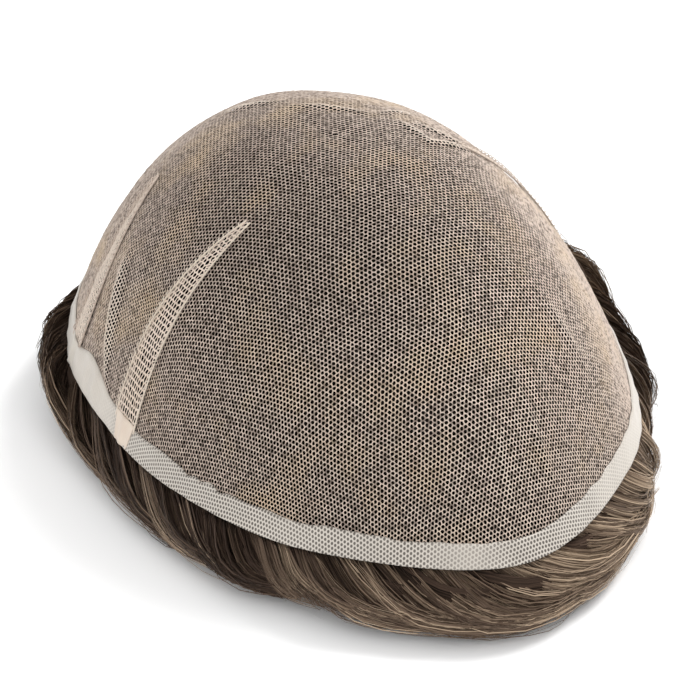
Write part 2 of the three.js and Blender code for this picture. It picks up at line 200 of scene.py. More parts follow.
# Locks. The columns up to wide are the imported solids' own. The rest are this hair's: the hook that its
# strands end in, its flow along the rim in place of the sweep, and how much further its bellies come out.
# at, sweep, hook and flow are degrees; belly, tip, hook_out and puff are shares of lock_reach, the rises
# of rim_height, and wide of lock_width
lock_columns = (
    "at", "sweep", "belly", "belly_rise", "tip", "tip_rise", "wide", "hook", "hook_out", "hook_rise", "flow",
    "puff",
)
lock_groups = {
    "hair_left": dict(start=180, end=324, strands=6200, locks=[
        (184, 11, 0.2, 0.5, -0.1, 0.2, 0.9, 3, -0.5, 0.14, 20, 0),
        (194, 18, 0.1, 0.5, -0.2, 0.2, 1.0, 4, -0.6, 0.14, 28, 0),
        (206, 25, 0.0, 0.5, -0.35, 0.2, 1.0, 6, -0.7, 0.14, 36, 0.05),
        (221, 30, 0.1, 0.5, -0.5, 0.2, 1.0, 7, -0.8, 0.14, 42, 0.1),
        (236, 31, 0.04, 0.52, -0.6, 0.2, 1.0, 8, -0.85, 0.14, 44, 0.09),
        (251, 31, 0.0, 0.5, -0.6, 0.2, 1.0, 8, -0.85, 0.14, 44, -0.12),
        (266, 29, -0.02, 0.46, -0.55, 0.2, 1.0, 8, -0.7, 0.16, 43, -0.2),
        (281, 24, 0.0, 0.45, -0.45, 0.2, 1.0, 9, -0.4, 0.3, 40, -0.2),
        (294, 18, 0.0, 0.44, -0.4, 0.24, 0.95, 8, -0.15, 0.5, 35, -0.14),
        (305, 14, 0.05, 0.44, -0.35, 0.26, 0.95, 5, -0.1, 0.62, 30, -0.07),
        (315, 9, 0.02, 0.44, -0.4, 0.28, 0.9, 1, -0.25, 0.5, 25, 0),
    ]),
    "hair_front": dict(start=324, end=423, strands=6000, locks=[
        (328, 9, 0.1, 0.46, -0.1, 0.24, 0.85, 4, -0.3, 0.16, 24, 0),
        (335, 13, 0.3, 0.44, 0.1, 0.2, 0.95, 7, 0.1, 0.16, 28, 0),
        (343, 16, 0.38, 0.4, 0.05, 0.24, 1.0, 8, 0.05, 0.3, 34, 0),
        (353, 16, 0.32, 0.42, 0.05, 0.22, 1.0, 7, 0.0, 0.3, 35, 0),
        (365, 16, 0.15, 0.44, -0.05, 0.22, 1.0, 4, 0.12, 0.62, 31, 0),
        (378, 15, 0.02, 0.46, -0.15, 0.24, 1.0, 2, 0.0, 0.7, 20, 0),
        (390, 14, -0.06, 0.46, -0.2, 0.26, 0.95, 1, -0.1, 0.6, 6, 0),
        (401, 12, -0.08, 0.46, -0.3, 0.26, 0.95, -4, -0.2, 0.5, -10, 0),
        (412, 9, 0.0, 0.48, -0.3, 0.26, 0.9, -4, -0.3, 0.4, -18, 0),
    ]),
    "hair_right": dict(start=63, end=180, strands=5200, locks=[
        (176, -11, 0.3, 0.5, 0.0, 0.2, 0.9, -3, -0.4, 0.14, -20, 0),
        (166, -18, 0.4, 0.6, 0.0, 0.2, 1.0, -4, -0.4, 0.14, -28, 0),
        (153, -24, 0.5, 0.68, 0.2, 0.2, 1.0, -5, -0.2, 0.14, -32, 0),
        (139, -24, 0.62, 0.76, 0.4, 0.25, 1.0, -6, 0.1, 0.2, -32, 0),
        (125, -22, 0.8, 0.86, 0.5, 0.3, 1.0, -6, 0.2, 0.25, -32, 0),
        (112, -20, 0.74, 0.88, 0.4, 0.3, 0.95, -5, 0.15, 0.3, -31, 0),
        (99, -17, 0.5, 0.74, 0.25, 0.3, 0.95, -5, 0.0, 0.3, -29, 0),
        (88, -13, 0.32, 0.6, 0.15, 0.28, 0.9, -4, 0.0, 0.3, -26, 0),
        (79, -9, 0.36, 0.5, 0.1, 0.26, 0.9, -4, -0.1, 0.2, -21, 0),
        (71, -6, 0.24, 0.5, 0.0, 0.26, 0.8, -2, -0.2, 0.2, -14, 0),
    ]),
}

# How much paler the hair is, by azimuth: partly the hair's own colour and partly painted light
hair_tone_and_light_table = [
    (0, 0.4), (28, 0.44), (48, 0.24), (75, 0.1), (100, 0.22), (125, 0.36), (150, 0.3),
    (180, 0.22), (230, 0.12), (270, 0.07), (305, 0.03), (335, 0.1), (350, 0.28), (360, 0.38),
]

# Dark cores of the locks, and the strip that they grow from, with painted shade near the roots
body_sections = 22
body_sides = 14
body_slim = 0.56  # of the solid's width
body_flat = 0.38  # of the solid's thickness
body_sunk = 2.4 * mm  # in from the solid's middle
body_paleness = 0.45
body_shade_fade = (0.12, 0.6)  # along the lock, where the painted shade near the root gives way to the paler ends
streaks_round = 12
streaks_along = 1.5
root_streaks = (2.0, 0.15)  # to a degree of azimuth and to a row
streak_offset = 17.0  # from one lock to the next, so that no two are streaked alike
crown_combing = 0.12 * mm
crown_streaks = (1.3, 0.2)  # to a millimetre across and down

# Strands
strand_points = 16
strand_width = 0.25 * mm
strand_tip_width = 0.09 * mm
tresses_per_degree = 1.5
tress_width = 2.6 * mm
tress_point = 0.32  # how wide a tress still is at its end
tress_gather = 0.4  # how far the tresses of a lock close up towards its end
tress_layers = (2.4, 1.0)  # of a beta distribution, so most lie near the outside
tress_reach = (0.74, 1.0)
tress_tone_spread = 0.11
tress_stray = dict(
    belly=0.06, belly_rise=0.04, tip=0.09, tip_rise=0.03, hook=1.5, hook_out=0.12, hook_rise=0.07, flow=2.2
)
lock_spacing = 11.0  # degrees over which a lock's outer side curves away
lock_curving = 1.6
wave_spacing = 17  # degrees of azimuth to a wave
wave_spread = 0.08
wave_across = dict(high=0.8 * mm, turns=2.6)
wave_deep = dict(high=0.5 * mm, turns=3)
wave_start = (0.15, 0.7)
root_spread = 0.08  # of its route, over which a strand starts
short_mean = 0.04  # of its route, by which a strand ends short
short_most = 0.3
tress_fill = 0.4  # how far strands stray from their tress's middle, as a share of its width
layer_spread = 0.1
layer_most = 1.06
closing_start = 0.35
flyaway_share = 0.08
flyaway_reach = (0.8 * mm, 3.2 * mm)
fray = 0.2 * mm
strand_roll = 0.45
strand_widths = (0.7, 1.15)
thinning_start = 0.45
floor_clearance = 0.25 * mm

# Strand tones
tone_base = 0.42
tone_spread = 0.1
bright_share = 0.2
bright_lift = (0.1, 0.3)
# Painted shade on the strands that lie deep in a lock
deep_painted_shade = 0.3
deep_below = 0.7  # layer under which strands get painted shade
end_paleness = 0.26

# Colours of the net's folds and of the floor
cream = (0.74, 0.64, 0.54)
floor_white = (0.96, 0.96, 0.96, 1)

# Soft lights
lights = [
    dict(name="key", place=(1.0, 0.1, 1.2), size=0.6, power=15),
    dict(name="fill", place=(-0.2, -1.2, 1.1), size=0.9, power=4.5),
    dict(name="side", place=(-1.1, -0.6, 0.6), size=0.8, power=3),
    dict(name="back", place=(-0.3, 1.2, 1.0), size=0.6, power=2),
]
world_strength = 0.86

# Camera, from the photograph's view of the rim and the crown
camera_azimuth = math.radians(-24.63)
camera_elevation = math.radians(30.59)
camera_distance = 992 * mm
aim_from_rim = Vector((-0.65, -0.9, 7.3)) * mm  # from the middle of the rim
camera_roll = math.radians(-1.82)
camera_lens = 198.1
camera_sensor = 36


def smooth_step(value, low, high):
    """Runs smoothly from 0 at low to 1 at high."""
    t = np.clip((value - low) / (high - low), 0, 1)
    return t * t * (3 - 2 * t)


def mix(a, b, t):
    """The value a share t of the way from a to b."""
    return a + (b - a) * t


def unit(vectors):
    """The vectors at length 1."""
    return vectors / np.maximum(np.linalg.norm(vectors, axis=-1, keepdims=True), 1e-12)


def make_rim_knots():
    """The rim stations and their mirror images as points about the middle of the rim."""
    half = [
        (s["across"] * cap_width / 2, -s["along"] * cap_length / 2, s["lift"] * cap_depth)
        for s in rim_stations
    ]
    mirrored = [(-x, y, z) for x, y, z in reversed(half[1:-1])]
    return np.array(half + mirrored)


def through(knots, place, closed=False):
    """Points on the smooth curve through the knots; place counts knots from the first."""
    count = len(knots)
    place = np.asarray(place, float)
    if closed:
        first = np.floor(place).astype(int)
        pick = [knots[(first + k) % count] for k in (-1, 0, 1, 2)]
    else:
        first = np.clip(np.floor(place).astype(int), 0, count - 2)
        longer = np.vstack([2 * knots[0] - knots[1], knots, 2 * knots[-1] - knots[-2]])
        pick = [longer[first + k] for k in (0, 1, 2, 3)]
    before, start, end, after = pick
    t = (place - first)[..., None]
    square = (2 * before - 5 * start + 4 * end - after) * t**2
    cube = (3 * start - before - 3 * end + after) * t**3
    return 0.5 * (2 * start + (end - before) * t + square + cube)


rim_knots = make_rim_knots()
crown = np.array([0, crown_setback, 0])
lace_low, lace_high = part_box("lace_base")
cap_middle = np.array([(lace_low.x + lace_high.x) / 2, (lace_low.y + lace_high.y) / 2, 0])


def rim_point(azimuth):
    """The rim at azimuths in degrees, about the middle of the cap; z is its lift."""
    return through(rim_knots, np.asarray(azimuth, float) / 360 * len(rim_knots), closed=True)


def dome_point(azimuth, share):
    """The lace's outer surface; share runs from 0 at the crown to 1 at the rim."""
    rim = rim_point(azimuth)
    share = np.asarray(share, float)
    spread = (np.sin(share * meridian_turn) / math.sin(meridian_turn)) ** meridian_fullness
    rise = (np.cos(share * meridian_turn) - math.cos(meridian_turn)) / (1 - math.cos(meridian_turn))
    plan = crown[:2] + (rim[..., :2] - crown[:2]) * spread[..., None]
    height = rim_height + cap_depth * rise + rim[..., 2] * share**2
    return np.concatenate([plan, height[..., None]], axis=-1)


def dome_surface(azimuth, share, out):
    """Points out from the lace's outer surface, along its normal, in the frame."""
    azimuth, share, out = np.broadcast_arrays(azimuth, share, out)
    low = np.maximum(share, normal_step)
    down = dome_point(azimuth, low + normal_step) - dome_point(azimuth, low - normal_step)
    around = dome_point(azimuth + 1, low) - dome_point(azimuth - 1, low)
    normal = unit(np.cross(down, around))
    return dome_point(azimuth, share) + normal * out[..., None] + cap_middle


# Lengths down the meridians, by azimuth and share
table_azimuths = np.arange(0, 360 + table_step, table_step)
table_shares = np.linspace(0, 1, 81)
meridians = dome_point(*np.meshgrid(table_azimuths, table_shares, indexing="ij"))
strides = np.linalg.norm(np.diff(meridians, axis=1), axis=2)
arc_table = np.concatenate([np.zeros((len(table_azimuths), 1)), np.cumsum(strides, axis=1)], axis=1)
arc_totals = arc_table[:, -1]
share_table = np.array([np.interp(table_shares * row[-1], row, table_shares) for row in arc_table])
rim_plan = rim_point(table_azimuths)
plan_angles = np.unwrap(np.arctan2(rim_plan[:, 0], crown_setback - rim_plan[:, 1]))


def look_up(table, azimuth, column):
    """A value between the rows and columns of a table whose rows are table_azimuths."""
    rows, columns = table.shape
    row = np.clip(np.asarray(azimuth, float) % 360 / table_step, 0, rows - just_inside)
    column = np.clip(column * (columns - 1), 0, columns - just_inside)
    i, j = row.astype(int), column.astype(int)
    u, v = row - i, column - j
    return mix(mix(table[i, j], table[i, j + 1], v), mix(table[i + 1, j], table[i + 1, j + 1], v), u)


def total_arc(azimuth):
    """The length of the meridian from crown to rim."""
    return np.interp(np.asarray(azimuth, float) % 360, table_azimuths, arc_totals)


def share_up(azimuth, length):
    """The share at which the meridian is a given length up from the rim."""
    return look_up(share_table, azimuth, 1 - length / total_arc(azimuth))


def cloth_to_dome(cloth):
    """Azimuth, share and the share of the meridian's length, for points on the flat net."""
    angle = np.arctan2(cloth[..., 0], -cloth[..., 1]) % (2 * math.pi)
    azimuth = np.interp(angle, plan_angles, table_azimuths)
    walked = np.linalg.norm(cloth, axis=-1) * net_stretch / total_arc(azimuth)
    return azimuth, look_up(share_table, azimuth, walked), walked


def dome_to_cloth(azimuth, share):
    """The point of the flat net that lies at an azimuth and share."""
    angle = np.interp(np.asarray(azimuth, float) % 360, table_azimuths, plan_angles)
    radius = look_up(arc_table, azimuth, np.asarray(share, float)) / net_stretch
    return np.stack([radius * np.sin(angle), -radius * np.cos(angle)], axis=-1)


def ripple(points, wavelength, seed):
    """A smooth uneven value about 0, mostly within 1, that changes over about a wavelength."""
    rng = np.random.default_rng(seed)
    total = np.zeros(points.shape[:-1])
    for _ in range(ripple_waves):
        direction = unit(rng.normal(size=points.shape[-1]))
        pace = 2 * math.pi / (wavelength * rng.uniform(*ripple_spread))
        total += np.sin(points @ direction * pace + rng.uniform(0, 2 * math.pi))
    return total / math.sqrt(ripple_waves / 2) / ripple_calm


def hump(place, middle, wide):
    """1 at the middle, fading to nothing within about two widths."""
    return np.exp(-(((place - middle) / wide) ** 2))


def mesh_piece(name, points, faces, material, nodes, values=None, uv=None):
    """A mesh from rows of points and of corner numbers, riding on the part and standing for nodes."""
    points = np.asarray(points, np.float32).reshape(-1, 3)
    faces = np.asarray(faces, np.int32)
    corners = faces.shape[1]
    mesh = bpy.data.meshes.new(name)
    mesh.vertices.add(len(points))
    mesh.vertices.foreach_set("co", points.ravel())
    mesh.loops.add(faces.size)
    mesh.loops.foreach_set("vertex_index", faces.ravel())
    mesh.polygons.add(len(faces))
    mesh.polygons.foreach_set("loop_start", np.arange(len(faces), dtype=np.int32) * corners)
    mesh.polygons.foreach_set("use_smooth", np.full(len(faces), True))
    mesh.update(calc_edges=True)
    for key, value in (values or {}).items():
        attribute = mesh.attributes.new(key, "FLOAT", "POINT")
        attribute.data.foreach_set("value", np.asarray(value, np.float32).ravel())
    if uv is not None:
        layer = mesh.uv_layers.new(name="cloth")
        layer.data.foreach_set("uv", np.asarray(uv, np.float32)[faces.ravel()].ravel())
    mesh.materials.append(material)
    piece = bpy.data.objects.new(name, mesh)
    bpy.context.scene.collection.objects.link(piece)
    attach(piece, "root")
    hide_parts(*nodes)
    return piece


def grid_faces(rows, columns, closed=False):
    """Four-cornered faces between the rows and columns of a grid of points; closed joins the last column."""
    last = columns if closed else columns - 1
    i, j = np.meshgrid(np.arange(rows - 1), np.arange(last), indexing="ij")
    next_j = (j + 1) % columns
    corners = [i * columns + j, i * columns + next_j, (i + 1) * columns + next_j, (i + 1) * columns + j]
    return np.stack([c.ravel() for c in corners], axis=1)


def tube(route, radius, sides=6):
    """Points and faces of a tube along each of several routes of as many points."""
    routes = route if route.ndim == 3 else route[None]
    count, length, _ = routes.shape
    tangent = unit(np.gradient(routes, axis=1))
    helper = np.where(np.abs(tangent[..., 2:3]) > 0.9, [[[1.0, 0, 0]]], [[[0, 0, 1.0]]])
    side = unit(np.cross(tangent, helper))
    lift = np.cross(side, tangent)
    turn = np.arange(sides) * 2 * math.pi / sides
    ring = side[..., None, :] * np.cos(turn)[:, None] + lift[..., None, :] * np.sin(turn)[:, None]
    points = routes[..., None, :] + ring * radius
    faces = grid_faces(length, sides, closed=True)
    starts = np.arange(count)[:, None, None] * length * sides
    return points.reshape(-1, 3), (faces[None] + starts).reshape(-1, 4)


def joined(parts):
    """Several sets of points and faces as one."""
    points, faces, start = [], [], 0
    for some_points, some_faces in parts:
        points.append(some_points)
        faces.append(some_faces + start)
        start += len(some_points)
    return np.vstack(points), np.vstack(faces)


# Materials


def new_material(name, roughness, sheen=0.0, specular=0.5):
    """A material with its node tree and shader."""
    material = bpy.data.materials.new(name)
    material.use_nodes = True
    tree = material.node_tree
    shader = tree.nodes["Principled BSDF"]
    shader.inputs["Roughness"].default_value = roughness
    shader.inputs["Sheen Weight"].default_value = sheen
    shader.inputs["Specular IOR Level"].default_value = specular
    return material, tree, shader


def add_node(tree, kind, settings=None, **inputs):
    """A node with settings, and inputs by place (in0, in1) or name, as values or other nodes' outputs."""
    node = tree.nodes.new(kind)
    for key, value in (settings or {}).items():
        setattr(node, key, value)
    for key, value in inputs.items():
        socket = node.inputs[int(key[2:])] if key.startswith("in") else node.inputs[key]
        if isinstance(value, bpy.types.NodeSocket):
            tree.links.new(value, socket)
        else:
            socket.default_value = value
    return node


def attribute(tree, name):
    """A value stored on the mesh's points."""
    return add_node(tree, "ShaderNodeAttribute", {"attribute_name": name}).outputs["Fac"]


def noise(tree, scale, detail=3.0, vector=None, roughness=0.55):
    """Uneven values about 0.5, in object space or along another vector."""
    if vector is None:
        vector = add_node(tree, "ShaderNodeTexCoord").outputs["Object"]
    settings = dict(Vector=vector, Scale=scale, Detail=detail, Roughness=roughness)
    return add_node(tree, "ShaderNodeTexNoise", **settings).outputs["Fac"]


def stretch(tree, value, low, high, most=1.0, kind="LINEAR"):
    """0 up to low, rising to most at high."""
    settings = {"interpolation_type": kind}
    node = add_node(tree, "ShaderNodeMapRange", settings, in0=value, in1=low, in2=high, in4=most)
    return node.outputs[0]


def maths(tree, operation, a, b=0.0):
    """One sum on two values."""
    return add_node(tree, "ShaderNodeMath", {"operation": operation}, in0=a, in1=b).outputs[0]


def ramp(tree, value, stops):
    """A colour from stops of (place, colour)."""
    node = add_node(tree, "ShaderNodeValToRGB", in0=value)
    elements = node.color_ramp.elements
    while len(elements) < len(stops):
        elements.new(0.5)
    for element, (place, colour) in zip(elements, stops):
        element.position = place
        element.color = (*colour, 1)
    return node.outputs["Color"]


def blend_colours(tree, share, first, second):
    """The first colour turning into the second as share goes from 0 to 1."""
    node = tree.nodes.new("ShaderNodeMix")
    node.data_type = "RGBA"
    for socket, value in ((node.inputs[0], share), (node.inputs[6], first), (node.inputs[7], second)):
        if isinstance(value, bpy.types.NodeSocket):
            tree.links.new(value, socket)
        elif isinstance(value, tuple):
            socket.default_value = (*value, 1)
        else:
            socket.default_value = value
    return node.outputs[2]


def paint(tree, shader, colour, relief, strength, depth):
    """Colour on the shader, and relief from a height value."""
    node = add_node(tree, "ShaderNodeBump", Height=relief, Strength=strength, Distance=depth)
    tree.links.new(node.outputs["Normal"], shader.inputs["Normal"])
    tree.links.new(colour, shader.inputs["Base Color"])


def net_material(name, pale, dusky, golden):
    """Twisted lace thread, unevenly dyed, with golden patches and creamy folds."""
    material, tree, shader = new_material(name, roughness=0.65, sheen=0.08)
    thread = ramp(tree, attribute(tree, "tone"), [(0.0, dusky), (0.75, pale)])
    patch = stretch(tree, noise(tree, scale=60), low=0.5, high=0.75, most=0.55)
    tinted = blend_colours(tree, patch, thread, golden)
    colour = blend_colours(tree, attribute(tree, "fold"), tinted, cream)
    twist = noise(tree, scale=9000, detail=2.0)
    paint(tree, shader, colour, twist, strength=0.35, depth=0.05 * mm)
    return material


def hex_dots(tree, cloth):
    """1 in the holes of the net and 0 on its threads, over the flat net's own coordinates in pitches."""
    split = add_node(tree, "ShaderNodeSeparateXYZ", in0=cloth)
    total = 0.0
    for turn in (0, 60, 120):
        angle = math.radians(turn + 90) + net_turn
        pace = 4 * math.pi / math.sqrt(3)
        along_x = maths(tree, "MULTIPLY", split.outputs[0], math.cos(angle) * pace)
        along_y = maths(tree, "MULTIPLY", split.outputs[1], math.sin(angle) * pace)
        wave = maths(tree, "COSINE", maths(tree, "ADD", along_x, along_y))
        total = maths(tree, "ADD", wave, total)
    return stretch(tree, total, low=-0.8, high=0.7, kind="SMOOTHSTEP")


def band_material(deep, pale, hole):
    """Ivory ribbon over the net, whose holes show through where it is thin."""
    material, tree, shader = new_material("ivory ribbon", roughness=0.5, sheen=0.15)
    clearness = 0.95
    dimpling = 0.6
    cloth = add_node(tree, "ShaderNodeUVMap", {"uv_map": "cloth"}).outputs[0]
    dots = hex_dots(tree, cloth)
    shown = maths(tree, "MULTIPLY", dots, attribute(tree, "thin"))
    ivory = blend_colours(tree, noise(tree, scale=160), deep, pale)
    colour = blend_colours(tree, maths(tree, "MULTIPLY", shown, clearness), ivory, hole)
    relief = maths(tree, "SUBTRACT", noise(tree, scale=1200), maths(tree, "MULTIPLY", dots, dimpling))
    paint(tree, shader, colour, relief, strength=0.5, depth=0.15 * mm)
    return material


def sewn_material(name, deep, pale, roughness, mottle, grain, detail, depth):
    """Mottled ribbon or sewing thread; mottle and grain are how fine its spots and its relief are."""
    material, tree, shader = new_material(name, roughness, sheen=0.15)
    colour = blend_colours(tree, noise(tree, mottle, detail), deep, pale)
    paint(tree, shader, colour, noise(tree, grain, detail), strength=0.5, depth=depth)
    return material


def body_material():
    """The dark mass of hair behind the strands and the net, streaked along its locks, in a near-black copy
    painted with shade and a paler lit copy.
    """
    material, tree, shader = new_material("hair mass", roughness=0.85, specular=0.04)
    cloth = add_node(tree, "ShaderNodeUVMap", {"uv_map": "cloth"}).outputs[0]
    streak = noise(tree, scale=1.0, detail=5.0, vector=cloth, roughness=0.7)
    # Painted shade: the inner ramp is a near-black copy of the dark hair, for where it lies deep
    inner = ramp(tree, streak, [(0.3, (0.0015, 0.001, 0.0008)), (0.7, (0.009, 0.006, 0.0045))])
    # and the outer ramp is the paler lit copy, for the ends of the locks
    outer = ramp(tree, streak, [(0.38, (0.01, 0.007, 0.005)), (0.62, (0.12, 0.077, 0.056))])
    colour = blend_colours(tree, attribute(tree, "tone"), inner, outer)
    paint(tree, shader, colour, streak, strength=0.8, depth=0.5 * mm)
    return material


def strand_material():
    """Ash brown hair with paler and golden strands among it."""
    material, tree, shader = new_material("hair strands", roughness=0.5, specular=0.16)
    shader.inputs["Specular Tint"].default_value = (1.0, 0.82, 0.64, 1)
    stops = [
        (0.0, (0.005, 0.0035, 0.0025)),
        (0.35, (0.034, 0.0205, 0.0155)),
        (0.6, (0.096, 0.064, 0.046)),
        (0.8, (0.19, 0.134, 0.093)),
        (1.0, (0.45, 0.34, 0.24)),
    ]
    tree.links.new(ramp(tree, attribute(tree, "tone"), stops), shader.inputs["Base Color"])
    return material


lace_thread = net_material(
    "lace thread", pale=(0.6, 0.49, 0.41), dusky=(0.12, 0.085, 0.065), golden=(0.6, 0.45, 0.29)
)
doubled_thread = net_material(
    "doubled lace", pale=(0.66, 0.55, 0.46), dusky=(0.42, 0.33, 0.27), golden=(0.68, 0.54, 0.41)
)
ribbon = band_material(deep=(0.47, 0.43, 0.38), pale=(0.58, 0.53, 0.47), hole=(0.06, 0.048, 0.038))
fold_weave = dict(roughness=0.6, mottle=300, grain=2200, detail=3.0, depth=0.15 * mm)
cord_twist = dict(roughness=0.55, mottle=500, grain=5000, detail=2.0, depth=0.08 * mm)
peach_fold = sewn_material("peach fold", (0.56, 0.45, 0.37), (0.66, 0.57, 0.47), **fold_weave)
ivory_fold = sewn_material("ivory fold", (0.47, 0.43, 0.37), (0.56, 0.51, 0.45), **fold_weave)
bright_cord = sewn_material("bright sewing thread", (0.56, 0.46, 0.37), (0.74, 0.66, 0.56), **cord_twist)
lace_cord = sewn_material("lace sewing thread", (0.42, 0.33, 0.27), (0.6, 0.5, 0.42), **cord_twist)
hair_mass = body_material()
hair_strands = strand_material()


# The net

# Folds in the net: azimuth and share of each end, and how broad and how high each is in millimetres
creases = [
    (201, 0.36, 186, 0.2, 1.6, 0.75),
    (186, 0.14, 120, 0.13, 1.3, 0.6),
    (96, 0.17, 66, 0.22, 1.2, 0.75),
    (66, 0.21, 75, 0.37, 1.2, 0.8),
    (116, 0.16, 108, 0.3, 1.3, 0.6),
    (91, 0.22, 80, 0.36, 1.1, 0.7),
    (84, 0.36, 74, 0.5, 1.4, 0.5),
    (26, 0.6, 27, 0.76, 2.0, 0.5),
    (0, 0.7, 0, 0.92, 1.4, 0.55),
    (350, 0.74, 351, 0.92, 1.3, 0.4),
    (8, 0.66, 9, 0.9, 1.5, 0.4),
    (253, 0.7, 266, 0.9, 2.6, 1.0),
    (255, 0.76, 268, 0.94, 1.4, 0.6),
    (250, 0.66, 262, 0.88, 1.6, 0.5),
]


def crease_height(cloth):
    """How far the folds raise the net at points on the flat net."""
    height = np.zeros(cloth.shape[:-1])
    for azimuth, share, end_azimuth, end_share, broad, high in creases:
        start, end = dome_to_cloth(azimuth, share), dome_to_cloth(end_azimuth, end_share)
        along = end - start
        t = np.clip(((cloth - start) @ along) / (along @ along), 0, 1)
        away = np.linalg.norm(cloth - start - t[..., None] * along, axis=-1)
        fading = np.sin(math.pi * mix(0.12, 0.88, t))
        height += high * mm * fading * hump(away, 0, broad * mm)
    return height


def hex_net(width, length, across, along, turn, thread):
    """The points and faces of a flat hexagonal net of ridged threads about the origin.
    Each point has its place, 1 on a ridge or 0 at a foot, and the number of its knot."""
    high = int(length / along * 1.2) + 3
    wide = int(width / across + high / 2) + 3
    i, j = (g.ravel() for g in np.meshgrid(np.arange(-wide, wide), np.arange(-high, high), indexing="ij"))
    holes = np.stack([(i + j / 2) * across, j * along * math.sqrt(3) / 2], axis=1)
    first, second = np.array([across, 0]), np.array([across / 2, along * math.sqrt(3) / 2])
    corner_holes = [(0, 0), (1, 0), (0, 1), (1, 0), (0, 1), (1, 1)]
    knots = [holes + (first + second) / 3, holes + (first + second) * 2 / 3]
    places, peaks = [], []
    for number, knot in enumerate(knots):
        places.append(knot)
        peaks.append(1)
        for u, v in corner_holes[number * 3:number * 3 + 3]:
            hole = holes + u * first + v * second
            places.append(mix(knot, hole, thread))
            peaks.append(0)
    points = np.stack(places, axis=1).reshape(-1, 2)
    peak = np.tile(peaks, len(holes))
    cell = np.arange(len(holes))
    size = 2 * high
    left, below = cell - size, cell - 1
    strut_corners = [(cell, 2, 5, 3, 6), (left, 1, 5, 3, 7), (below, 1, 6, 2, 7)]
    faces = []
    for other, near_a, far_a, near_b, far_b in strut_corners:
        faces.append(np.stack([cell * 8, other * 8 + 4, other * 8 + far_a, cell * 8 + near_a], axis=1))
        faces.append(np.stack([other * 8 + 4, cell * 8, cell * 8 + near_b, other * 8 + far_b], axis=1))
    faces = np.vstack(faces)
    strut = np.linalg.norm(points[faces[:, 0]] - points[faces[:, 1]], axis=1)
    inside = (faces.min(axis=1) >= 0) & (strut < across + along)
    faces = faces[inside]
    a, b, c = points[faces[:, 0]], points[faces[:, 1]], points[faces[:, 2]]
    backwards = (b[:, 0] - a[:, 0]) * (c[:, 1] - a[:, 1]) < (b[:, 1] - a[:, 1]) * (c[:, 0] - a[:, 0])
    faces[backwards] = faces[backwards][:, ::-1]
    cosine, sine = math.cos(turn), math.sin(turn)
    points = points @ np.array([[cosine, sine], [-sine, cosine]])
    return points, faces, peak, np.repeat(np.arange(len(points) // 4), 4)


def kept(points, faces, keep, *others):
    """Only the faces whose corners are all kept, with the points that they use."""
    faces = faces[keep[faces].all(axis=1)]
    used, numbers = np.unique(faces, return_inverse=True)
    return (points[used], numbers.reshape(faces.shape), *(o[used] for o in others))


def flat_area(corners):
    """The area of flat four-cornered faces, from the places of their corners."""
    first, second = corners[:, 2] - corners[:, 0], corners[:, 3] - corners[:, 1]
    return float(0.5 * np.abs(first[:, 0] * second[:, 1] - first[:, 1] * second[:, 0]).sum())


def dart_turn(dart, along):
    """Azimuth of the middle of a dart; along runs from 0 at the band to 1 at its tip."""
    return mix(dart["rim"], dart["tip"], np.clip(along, 0, 1) ** dart_bend)


def under_dart(dart, azimuth, share):
    """Whether places on the dome lie under a dart, well inside its edges."""
    low = share_up(dart["rim"], band_width + band_gap)
    along = (share - low) / (dart["tip_share"] - low)
    off = azimuth - dart_turn(dart, along)
    per_degree = np.linalg.norm(dome_point(azimuth + 0.5, share) - dome_point(azimuth - 0.5, share), axis=-1)
    return (along > 0) & (along < 1) & (np.abs(off) * per_degree < dart_half_width(along) - under_selvage)


def painted_shade(place, fade):
    """How much painted shade dulls the threads at places along an axis."""
    return fade["depth"] * smooth_step(place, fade["low"], fade["high"])


def lace_net():
    """The lace over the whole cap, in three pieces from left to right."""
    reach = arc_totals.max() / net_stretch
    cloth, faces, peak, knot = hex_net(reach, reach, net_pitch, net_pitch, net_turn, thread_share)
    rng = np.random.default_rng(11)
    tone = rng.beta(*thread_tones, knot.max() + 1)[knot]
    stray = rng.normal(scale=net_waver, size=(knot.max() + 1, 2))[knot]
    sway = np.stack([ripple(cloth, wavelength=30 * mm, seed=seed) for seed in (21, 22)], axis=1)
    flat = cloth + stray + sway * net_swell
    azimuth, share, walked = cloth_to_dome(flat)
    keep = walked < net_edge
    for dart in darts:
        keep = keep & ~under_dart(dart, azimuth, share)
    cloth, faces, azimuth, share, walked, flat, peak, tone = kept(
        cloth, faces, keep, azimuth, share, walked, flat, peak, tone
    )
    raised = crease_height(flat)
    fold = np.clip(raised / fold_height, 0, 1) ** 2 * fold_paleness
    swell = net_swell * (0.5 + 0.5 * ripple(flat, wavelength=22 * mm, seed=23))
    lift = raised + swell * smooth_step(1 - walked, *swell_start)
    slant = rng.normal(scale=thread_slant, size=len(peak)) * peak
    points = dome_surface(azimuth, share, lift - net_sink + peak * thread_rise + slant)
    # Painted shade dulls the net towards the left side and the crown
    painted_dimming = painted_shade(-points[:, 0], left_painted_shade) + painted_shade(points[:, 2], crown_painted_shade)
    return net_strips(cloth, points, faces, tone * (net_brightness - painted_dimming), fold)


def net_strips(cloth, points, faces, tone, fold):
    """The net in three pieces, each with its flat size and the flat area of its threads."""
    middle = cloth[faces].mean(axis=1)[:, 0]
    edge = np.quantile(np.abs(middle), 1 / 3)
    net_pieces = []
    for name, chosen in (
        ("lace_net_left", middle < -edge),
        ("lace_net_middle", np.abs(middle) <= edge),
        ("lace_net_right", middle > edge),
    ):
        used, numbers = np.unique(faces[chosen], return_inverse=True)
        some = numbers.reshape(-1, 4)
        values = {"tone": tone[used], "fold": fold[used]}
        piece = mesh_piece(name, points[used], some, lace_thread, ["lace_base"], values=values)
        cut = cloth[used]
        width, length = np.ptp(cut, axis=0)
        net_pieces.append((piece, (float(width), float(length)), flat_area(cut[some])))
    return net_pieces


